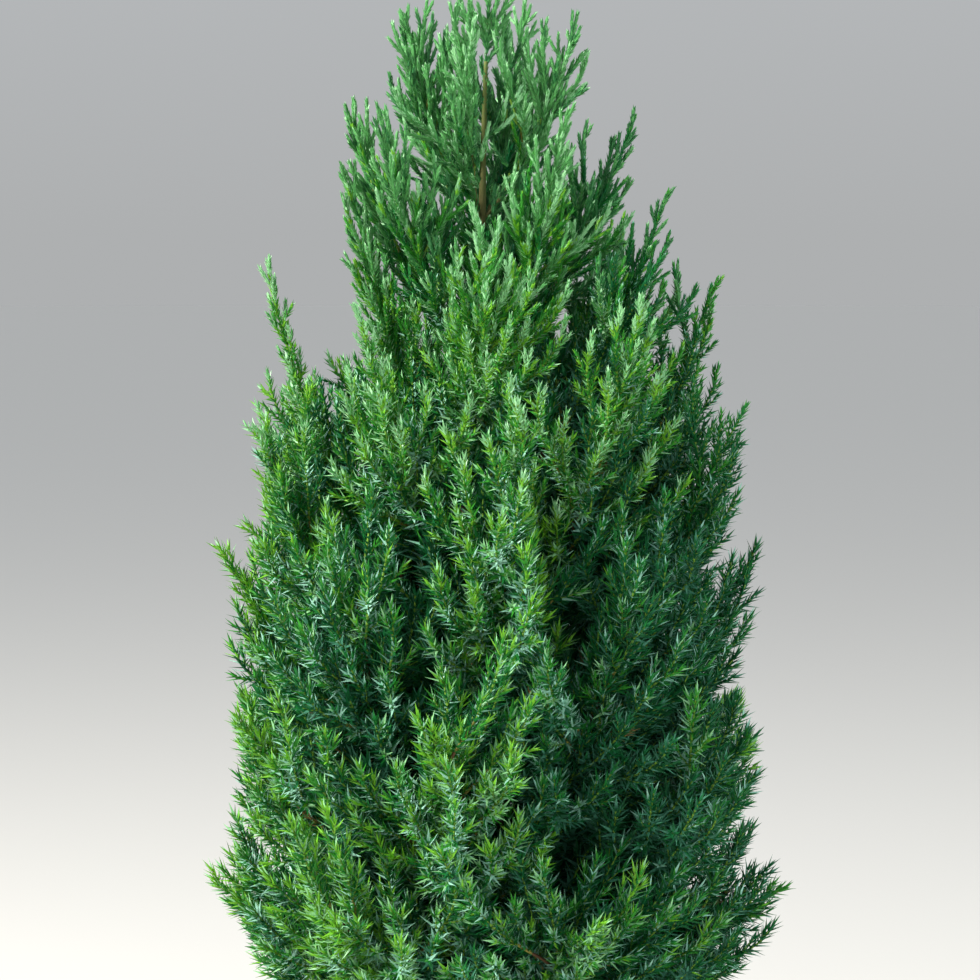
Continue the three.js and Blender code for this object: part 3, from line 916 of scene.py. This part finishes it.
# whorls of needles along lines
def needleTree():
    inputs = {"Spacing": "Float", "Per whorl": "Int", "Width": "Float", "Bloom and glint share": "Float"}
    tree, add, given = newTree("needle_whorls", {**inputs, "Needle": "Object", "Seed": "Int"})

    def maths(operation, a, b):
        return add("ShaderNodeMath", {"operation": operation}, i0=a, i1=b).outputs[0]

    def randomly(low, high, offset):
        seed = maths("ADD", given["Seed"], offset)
        return shown(
            add("FunctionNodeRandomValue", {"data_type": "FLOAT"}, Min=low, Max=high, Seed=seed)
        )

    def either(key, offset):
        return randomly(-needleScatter[key], needleScatter[key], offset)

    def rotated(rotation, **angles):
        euler = add("ShaderNodeCombineXYZ", **angles).outputs[0]
        turn = add("FunctionNodeEulerToRotation", Euler=euler).outputs[0]
        feeds = {"Rotation": rotation, "Rotate By": turn}
        return add("FunctionNodeRotateRotation", {"rotation_space": "LOCAL"}, **feeds).outputs[0]

    def both(a, b):
        return add("FunctionNodeBooleanMath", {"operation": "AND"}, i0=a, i1=b).outputs[0]

    curves = add("GeometryNodeMeshToCurve", Mesh=given["Geometry"]).outputs["Curve"]
    every = maths("MULTIPLY", named(add, "spray_every"), given["Spacing"])
    points = add("GeometryNodeCurveToPoints", {"mode": "LENGTH"}, Curve=curves, Length=every)
    index = add("GeometryNodeInputIndex").outputs[0]
    whorls = stored(add, points.outputs["Points"], "whorl", "INT", index)
    whorls = stored(add, whorls, "twigTurn", "QUATERNION", points.outputs["Rotation"])
    feeds = {"Geometry": whorls, "Amount": given["Per whorl"]}
    each = add("GeometryNodeDuplicateElements", {"domain": "POINT"}, **feeds)
    third = maths("MULTIPLY", each.outputs["Duplicate Index"], 2 * math.pi / 3)
    along = maths("MULTIPLY", named(add, "whorl", "INT"), needleScatter["whorlTurn"])
    spin = maths("ADD", maths("ADD", third, along), either("spin", 1))
    tilt = maths("ADD", named(add, "spray_needleAngle"), either("tilt", 2))
    turn = rotated(rotated(named(add, "twigTurn", "QUATERNION"), Z=spin), X=tilt)
    long = randomly(*needleScatter["length"], 3)
    long = maths("MULTIPLY", named(add, "spray_needleLength"), long)
    wide = maths("MULTIPLY", given["Width"], randomly(*needleScatter["width"], 4))
    wide = maths("MULTIPLY", wide, named(add, "spray_needleWidth"))
    size = add("ShaderNodeCombineXYZ", X=wide, Y=wide, Z=long).outputs[0]
    tone = maths("ADD", named(add, "spray_tone"), either("tone", 5))
    toned = stored(add, each.outputs["Geometry"], "tone", "FLOAT", tone)
    toned = stored(add, toned, "luck", "FLOAT", randomly(0.0, 1.0, 6))
    shape = strewn(add, toned, given["Needle"], turn, size)
    tone = named(add, "tone")
    # which upper faces take the pale wax and painted glint
    lucky = above(add, given["Bloom and glint share"], named(add, "luck"))
    bloomedAndGlinting = both(named(add, "upperSide", "BOOLEAN"), lucky)
    for k, material in enumerate(needleMaterials):
        over = above(add, tone, toneOfFirst + k - 0.5 if k else -100.0)
        shape = dressed(add, shape, material, over)
        if k < len(bloomAndGlintOfTone):
            shape = dressed(add, shape, bloomAndGlintMaterials[bloomAndGlintOfTone[k]], both(over, bloomedAndGlinting))
    return endTree(tree, shape)


# tubes along lines
def twigTree():
    tree, add, given = newTree("twig_tubes", {"Sides": "Int", "Thickness": "Float"})
    curves = add("GeometryNodeMeshToCurve", Mesh=given["Geometry"]).outputs["Curve"]
    radius = named(add, "spray_radius")
    thick = add("ShaderNodeMath", {"operation": "MULTIPLY"}, i0=radius, i1=given["Thickness"])
    ring = add("GeometryNodeCurvePrimitiveCircle", {"mode": "RADIUS"}, Resolution=given["Sides"])
    feeds = {"Curve": curves, "Profile Curve": ring.outputs["Curve"], "Scale": thick.outputs[0]}
    tubes = add("GeometryNodeCurveToMesh", Fill_Caps=True, **feeds).outputs["Mesh"]
    shape = add("GeometryNodeRealizeInstances", Geometry=tubes).outputs["Geometry"]
    for low, material in zip(twigOver, twigMaterials):
        shape = dressed(add, shape, material, above(add, radius, low))
    return endTree(tree, shape)


# runs a tree on an object and gives the result as a plain mesh object
def grownMesh(name, source, tree, values):
    modifier = source.modifiers.new(name, "NODES")
    modifier.node_group = tree
    for item in tree.interface.items_tree:
        if item.in_out == "INPUT" and item.name in values:
            modifier[item.identifier] = values[item.name]
    source.update_tag()
    evaluated = source.evaluated_get(bpy.context.evaluated_depsgraph_get())
    mesh = bpy.data.meshes.new_from_object(evaluated)
    mesh.name = name
    source.modifiers.remove(modifier)
    return inScene(name, mesh)


prototype = needlePrototype()
needleValues = {
    "Spacing": 1.0,
    "Per whorl": needleLook["perWhorl"],
    "Width": 1.0,
    "Bloom and glint share": needleLook["bloomAndGlintShare"],
    "Needle": prototype,
    "Seed": 3,
}
twigValues = {"Sides": 3, "Thickness": 1.0}
whorlTree = needleTree()
tubeTree = twigTree()
total = 0
for tier in tiers:
    for half, facing in (("front", -1), ("back", 1)):
        owners = [
            index
            for index, plume in enumerate(plumes)
            if plume["tier"] == tier[0] and (plume["outward"][1] >= 0) == (facing > 0)
        ]
        own = [spray for spray in sprays if spray["owner"] in owners]
        woody = own + [spray for spray in bareSprays if spray["owner"] in owners]
        name = f"{tier[0]}_{half}"
        lines = lineMesh("lines_" + name, own)
        allLines = lineMesh("all_lines_" + name, woody)
        needles = grownMesh("needles_" + name, lines, whorlTree, needleValues)
        twigs = grownMesh("twigs_" + name, allLines, tubeTree, twigValues)
        bpy.data.objects.remove(lines)
        bpy.data.objects.remove(allLines)
        nodes = ["foliage_" + plumes[index]["name"] for index in owners]
        for grown, slotName in ((needles, "needles"), (twigs, "bark")):
            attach(grown, "root")
            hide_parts(*nodes)
        total += len(needles.data.polygons)
        print(name, "twigs", len(own), "needle faces", len(needles.data.polygons),
              "twig faces", len(twigs.data.polygons))
bpy.data.objects.remove(prototype)
print("needle faces in all", total)


# wood

barkLook = {
    "ringEvery": 4.0,  # mm
    "trunkSides": 26,
    "trunkRelief": 0.16,
    "slender": 0.74,  # how much thinner than in the CAD source the trunk is in the crown's head
    "slenderFrom": (0.6, 0.9),  # shares of its height between which it becomes so
    "limbSides": 8,
    "limbRelief": 0.12,
    "limbTo": 0.6,  # share of a stem that is wood; the twigs go on from there
    "strip": (0.42, 0.42, 0.035),  # how often strips and knots come in x, y and z, per mm
    "knot": (0.16, 0.16, 0.05),
    "tones": [(0.3, linear(52, 38, 28)), (0.68, linear(136, 106, 78)), (0.5, linear(94, 68, 48))],
    "youngTone": linear(98, 108, 50),
    "youngAbove": (0.55, 0.7),  # metres between which bark turns green with height
    "youngBeyond": (0.03, 0.085),  # and with distance from the axis
}


def paintWood(add, place):
    grain = noiseOf(add, stretched(add, place, (420, 420, 60)), 1, 6, Roughness=0.65)
    split = add("ShaderNodeSeparateXYZ", Vector=place).outputs
    flat = add("ShaderNodeCombineXYZ", X=split["X"], Y=split["Y"]).outputs["Vector"]
    fromAxis = add("ShaderNodeVectorMath", {"operation": "LENGTH"}, i0=flat).outputs["Value"]
    ages = []
    for value, key in ((split["Z"], "youngAbove"), (fromAxis, "youngBeyond")):
        low, high = barkLook[key]
        ages.append(shown(add("ShaderNodeMapRange", Value=value, From_Min=low, From_Max=high)))
    youngest = add("ShaderNodeMath", {"operation": "MAXIMUM"}, i0=ages[0], i1=ages[1])
    old = rampOf(add, grain, barkLook["tones"])
    return mixOf(add, youngest.outputs[0], old, barkLook["youngTone"]), grain


def unevenness(spot, often, shift=0.0):
    x, y, z = spot * np.array(often)
    return noise.noise(Vector((x, y, z + shift)))


# a closed tube along places, with strips of bark standing up from it
def tubeShell(places, radii, sides, relief):
    along = unit(np.gradient(places, axis=0))
    reference = np.array([1.0, 0.0, 0.0])
    if abs(along[0] @ reference) > 0.9:
        reference = np.array([0.0, 1.0, 0.0])
    verts, faces = [], []
    for place, way, radius in zip(places, along, radii):
        across = unit(np.cross(way, np.cross(reference, way)))
        reference = across
        over = np.cross(way, across)
        for k in range(sides):
            angle = 2 * math.pi * k / sides
            wide = math.cos(angle) * across + math.sin(angle) * over
            spot = place + wide * radius
            strip = unevenness(spot, barkLook["strip"])
            knot = unevenness(spot, barkLook["knot"], 7)
            verts.append(place + wide * radius * (1 + relief * (0.7 * strip + 0.6 * knot)))
    last = (len(places) - 1) * sides
    for i in range(len(places) - 1):
        for k in range(sides):
            a, b = i * sides + k, i * sides + (k + 1) % sides
            faces.append((a, b, b + sides, a + sides))
    low, high = len(verts), len(verts) + 1
    verts += [places[0], places[-1] + along[-1] * radii[-1] * 0.6]
    for k in range(sides):
        faces.append(((k + 1) % sides, k, low))
        faces.append((last + k, last + (k + 1) % sides, high))
    return verts, faces


def meshPiece(name, verts, faces, material):
    mesh = bpy.data.meshes.new(name)
    mesh.from_pydata([tuple(v * toMetres) for v in verts], [], faces)
    mesh.validate()
    mesh.materials.append(material)
    mesh.polygons.foreach_set("use_smooth", [True] * len(mesh.polygons))
    return inScene(name, mesh)


wood = texturedMaterial("bark", 0.82, 0.5, paintWood, Strength=0.5, Distance=0.0006)
heights = np.arange(trunk["foot"], trunk["top"], barkLook["ringEvery"])
shares = (heights - trunk["foot"]) / (trunk["top"] - trunk["foot"])
radii = trunkRadius(shares) * lerp(1, barkLook["slender"], smooth(*barkLook["slenderFrom"], shares))
shell = tubeShell(trunkPlace(heights), radii, barkLook["trunkSides"], barkLook["trunkRelief"])
bark = meshPiece("bark_trunk", *shell, wood)
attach(bark, "root")
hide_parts("trunk")

allVerts, allFaces = [], []
for plume in plumes[:-1]:
    t = np.linspace(0, barkLook["limbTo"], 30)
    radii = lerp(boughRadius(plume), limb["tipRadius"], (t / barkLook["limbTo"]) ** 0.85)
    shell = tubeShell(stemAt(plume, t), radii, barkLook["limbSides"], barkLook["limbRelief"])
    allFaces += [tuple(i + len(allVerts) for i in face) for face in shell[1]]
    allVerts += shell[0]
boughs = meshPiece("bark_boughs", allVerts, allFaces, wood)
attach(boughs, "root")
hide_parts(*["bough_" + plume["name"] for plume in plumes if plume["bare"]])
print("wood done")

# pot and compost

pot = {
    "height": potRim["height"],
    "rimRadius": potRim["radius"],
    "bandHeight": 38,
    "bandStep": 7,
    "footRadius": 69,
    "wall": 8,
    "floor": 12,
    "drainRadius": 11,
    "sides": 128,
    "wobble": 0.35,  # mm that the wall is out of true
}
compostLook = {
    "level": 167,
    "moundHeight": 5,
    "rough": 1.6,  # mm of unevenness
    "rings": 46,
    "sides": 110,
    "crumbs": 1500,
    "crumbSizes": (1.0, 4.2),
    "trunkClear": 20,  # mm round the axis without crumbs
}
bandFoot = pot["height"] - pot["bandHeight"]
wallTop = pot["rimRadius"] - pot["bandStep"]
inside = wallTop - pot["wall"]


def wallAt(height):
    return lerp(pot["footRadius"], wallTop, min(height / bandFoot, 1))


# a profile whose corners, given as radius, height and rounding, are rounded off
def rounded(corners):
    points = []
    for k, (radius, height, curve) in enumerate(corners):
        here = np.array([radius, height], float)
        if curve == 0:
            points.append(here)
            continue
        beside = (corners[k - 1], corners[(k + 1) % len(corners)])
        ways = [unit(np.array(corner[:2], float) - here) for corner in beside]
        start, end = here + ways[0] * curve, here + ways[1] * curve
        for t in np.linspace(0, 1, 5):
            points.append((1 - t) ** 2 * start + 2 * t * (1 - t) * here + t * t * end)
    return points


# a closed ring of faces round the axis from a closed profile
def lathed(profile, sides, shift):
    verts, faces = [], []
    count = len(profile)
    for k in range(sides):
        angle = 2 * math.pi * k / sides
        for radius, height in profile:
            wide = radius + shift(angle, radius, height)
            verts.append(np.array([wide * math.cos(angle), wide * math.sin(angle), height]))
    for k in range(sides):
        for i in range(count):
            a, b = k * count + i, k * count + (i + 1) % count
            c, d = ((k + 1) % sides) * count + (i + 1) % count, ((k + 1) % sides) * count + i
            faces.append((a, d, c, b))
    return verts, faces


# faint rings from the potter's wheel below the band, and a wall a little out of true
def potShift(angle, radius, height):
    rings = 0.12 * math.sin(height * 1.9) * (height < bandFoot - 2) * (radius > inside)
    bend = noise.noise(Vector((math.cos(angle) * 1.3, math.sin(angle) * 1.3, height * 0.012)))
    return rings + pot["wobble"] * bend * (height > 3)


# points up a straight part of the profile, without its ends
def steps(low, high, count):
    ends = np.array([low, high], float)
    return [tuple(lerp(ends[0], ends[1], t)) + (0,) for t in np.linspace(0, 1, count + 2)[1:-1]]


potCorners = (
    [(pot["drainRadius"], 0, 0.8), (pot["footRadius"], 0, 2.6)]
    + steps((wallAt(4), 4), (wallAt(bandFoot - 2), bandFoot - 2), 26)
    + [(wallTop, bandFoot, 1.0), (pot["rimRadius"] - 0.6, bandFoot + 0.6, 2.0)]
    + steps((pot["rimRadius"] - 0.5, bandFoot + 4), (pot["rimRadius"], pot["height"] - 5), 6)
    + [(pot["rimRadius"], pot["height"], 3.2), (inside, pot["height"], 3.2)]
    + [(inside - 1, bandFoot, 2.0), (wallAt(pot["floor"]) - pot["wall"], pot["floor"], 3.0)]
    + [(pot["drainRadius"], pot["floor"], 0.8)]
)


# fired clay: mottled, with fine specks and patches of pale bloom
def paintClay(add, place):
    mottle = [(0.32, linear(150, 82, 54)), (0.7, linear(190, 116, 80)), (0.5, linear(172, 98, 65))]
    body = rampOf(add, noiseOf(add, place, 9, 7), mottle)
    specks = [(0.62, (0, 0, 0)), (0.72, (0.5, 0.5, 0.5))]
    specks = rampOf(add, noiseOf(add, place, 900, 2), specks)
    body = mixOf(add, specks, body, linear(120, 66, 44))
    bloom = [(0.52, (0, 0, 0)), (0.76, (0.55, 0.55, 0.55))]
    bloom = rampOf(add, noiseOf(add, stretched(add, place, (1, 1, 0.45)), 14, 9), bloom)
    body = mixOf(add, bloom, body, linear(206, 178, 154))
    return body, noiseOf(add, place, 420, 6)


clay = texturedMaterial("clay", 0.86, 0.25, paintClay, Strength=0.35, Distance=0.0005)
potPiece = meshPiece("clay_pot", *lathed(rounded(potCorners), pot["sides"], potShift), clay)
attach(potPiece, "root")
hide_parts("pot")


def compostMaterial(name, low, high):

    def paint(add, place):
        grain = noiseOf(add, place, 260, 8)
        return rampOf(add, grain, [(0.35, low), (0.68, high)]), grain

    return texturedMaterial(name, 0.95, 0.2, paint, Distance=0.0015)


def compostHeight(x, y):
    fromAxis = math.hypot(x, y)
    mound = compostLook["moundHeight"] * (1 - smooth(10, inside, fromAxis))
    broad = noise.noise(Vector((x * 0.045, y * 0.045, 3.0)))
    fine = noise.noise(Vector((x * 0.22, y * 0.22, 9.0)))
    return compostLook["level"] + mound + compostLook["rough"] * (0.8 * broad + 0.6 * fine)


# the compost as one closed body: an uneven top over the pot's hollow
def compostShell():
    rings, sides = compostLook["rings"], compostLook["sides"]
    wide = inside - 1.2
    loops = [(wide * k / rings, None) for k in range(1, rings + 1)]
    loops += [(wide, bandFoot), (wallAt(pot["floor"]) - pot["wall"] - 0.8, pot["floor"] + 0.4)]
    verts, faces = [np.array([0, 0, compostHeight(0, 0)])], []
    for radius, height in loops:
        for k in range(sides):
            angle = 2 * math.pi * k / sides
            x, y = radius * math.cos(angle), radius * math.sin(angle)
            verts.append(np.array([x, y, compostHeight(x, y) if height is None else height]))
    last = len(verts)
    verts.append(np.array([0, 0, pot["floor"] + 0.4]))
    for k in range(sides):
        following = (k + 1) % sides
        faces.append((0, 1 + k, 1 + following))
        for ring in range(len(loops) - 1):
            a, b = 1 + ring * sides + k, 1 + ring * sides + following
            faces.append((a, a + sides, b + sides, b))
        base = 1 + (len(loops) - 1) * sides
        faces.append((base + k, last, base + following))
    return verts, faces


compost = compostMaterial("compost", linear(30, 22, 17), linear(72, 54, 40))
crumbly = compostMaterial("compost_crumbs", linear(40, 29, 22), linear(98, 74, 54))
soilPiece = meshPiece("compost_bed", *compostShell(), compost)
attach(soilPiece, "root")
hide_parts("soil")


# lumps at points, each turned its own way and sized by its point
def crumbTree():
    tree, add, given = newTree("compost_lumps", {"Lump": "Object", "Seed": "Int"})
    points = add("GeometryNodeMeshToPoints", Mesh=given["Geometry"]).outputs["Points"]
    feeds = {"Max": (6.28, 6.28, 6.28), "Seed": given["Seed"]}
    turn = shown(add("FunctionNodeRandomValue", {"data_type": "FLOAT_VECTOR"}, **feeds))
    shape = strewn(add, points, given["Lump"], turn, named(add, "spray_radius"))
    return endTree(tree, dressed(add, shape, crumbly))


# a lump of compost, one unit across: a dented body of twelve faces
def lumpPrototype():
    mesh = bpy.data.meshes.new("lump")
    corners = [(0.5, 0, 0), (-0.42, 0.06, 0), (0, 0.46, 0.05), (0.04, -0.5, 0), (0, 0, 0.4),
               (0.05, 0, -0.36), (0.34, 0.3, 0.18), (-0.26, -0.3, 0.2)]
    faces = [(0, 2, 6), (2, 4, 6), (4, 0, 6), (4, 2, 1), (1, 3, 7), (3, 4, 7), (4, 1, 7),
             (3, 0, 4), (2, 0, 5), (1, 2, 5), (3, 1, 5), (0, 3, 5)]
    mesh.from_pydata(corners, [], faces)
    return inScene("lump", mesh)


# the places of the crumbs on the compost, and their sizes
def crumbPlaces(rng):
    count = compostLook["crumbs"]
    radius = (inside - 5) * np.sqrt(rng.random(count))
    angle = rng.uniform(0, 2 * math.pi, count)
    x, y = radius * np.cos(angle), radius * np.sin(angle)
    low, high = compostLook["crumbSizes"]
    sizes = low + (high - low) * rng.random(count) ** 2.2
    z = np.array([compostHeight(a, b) for a, b in zip(x, y)]) + sizes * 0.12
    clear = radius > compostLook["trunkClear"]
    return np.stack([x, y, z], axis=1)[clear], sizes[clear]


places, sizes = crumbPlaces(np.random.default_rng([crown["seed"], 501]))
scatter = bpy.data.meshes.new("crumb_places")
scatter.from_pydata([tuple(place) for place in places * toMetres], [], [])
pointFloats(scatter, "spray_radius", sizes * toMetres)
scattered = inScene("crumb_places", scatter)
lump = lumpPrototype()
crumbs = grownMesh("compost_crumbs", scattered, crumbTree(), {"Lump": lump, "Seed": 5})
bpy.data.objects.remove(scattered)
bpy.data.objects.remove(lump)
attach(crumbs, "root")
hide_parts("soil")
print("pot and compost done, crumbs", len(places))

# stage, light and camera

studio = {
    "lens": 135,
    "distance": 2.021,
    "lookAt": (-0.001, 0.0, 0.486),
    "down": 4.0,  # degrees
    "horizon": 0.4335,
    "zenith": 0.72,
    "floor": (0.63, 0.61, 0.575),
}
# name, place, what it points at, power in watts, width in metres, colour
lights = [
    ("key", (-2.2, -0.95, 2.35), (0, 0, 0.5), 188, 0.8, (1, 0.97, 0.9)),
    ("sky", (0.9, 1.2, 2.6), (0, 0, 0.5), 8, 2.0, (0.86, 0.93, 1)),
    ("fill", (2.7, -1.4, 1.1), (0, 0, 0.45), 48, 2.2, (0.9, 0.97, 1)),
]

bpy.ops.mesh.primitive_circle_add(vertices=96, radius=30, fill_type="NGON")
floor = bpy.context.object
floor.name = "studio_floor"
floor.data.materials.append(plainMaterial("studio_floor", studio["floor"], 0.8, 0.1))


def lookingAt(place, target):
    return (Vector(target) - Vector(place)).to_track_quat("-Z", "Y").to_euler()


for name, place, target, power, size, colour in lights:
    data = bpy.data.lights.new(name, "AREA")
    data.shape = "DISK"
    data.size = size
    data.energy = power
    data.color = colour
    light = inScene(name, data)
    light.location = place
    light.rotation_euler = lookingAt(place, target)

world = bpy.data.worlds.new("studio")
bpy.context.scene.world = world
world.use_nodes = True
worldTree = world.node_tree
add = adder(worldTree)
skyWay = add("ShaderNodeTexCoord").outputs["Generated"]
skyHeight = add("ShaderNodeSeparateXYZ", Vector=skyWay).outputs["Z"]
horizon, zenith = studio["horizon"], studio["zenith"]
skyStops = [
    (0, (horizon * 0.976, horizon, horizon * 1.012)),
    (0.5, (zenith * 0.94, zenith, zenith * 1.07)),
]
skyColour = rampOf(add, skyHeight, skyStops)
worldTree.links.new(skyColour, worldTree.nodes["Background"].inputs["Color"])

cameraData = bpy.data.cameras.new("camera")
cameraData.lens = studio["lens"]
cameraData.sensor_width = 36
camera = inScene("camera", cameraData)
down = math.radians(studio["down"])
target = Vector(studio["lookAt"])
camera.location = target + studio["distance"] * Vector((0, -math.cos(down), math.sin(down)))
camera.rotation_euler = lookingAt(camera.location, target)
bpy.context.scene.camera = camera
bpy.context.scene.view_settings.view_transform = "Standard"

print("done")
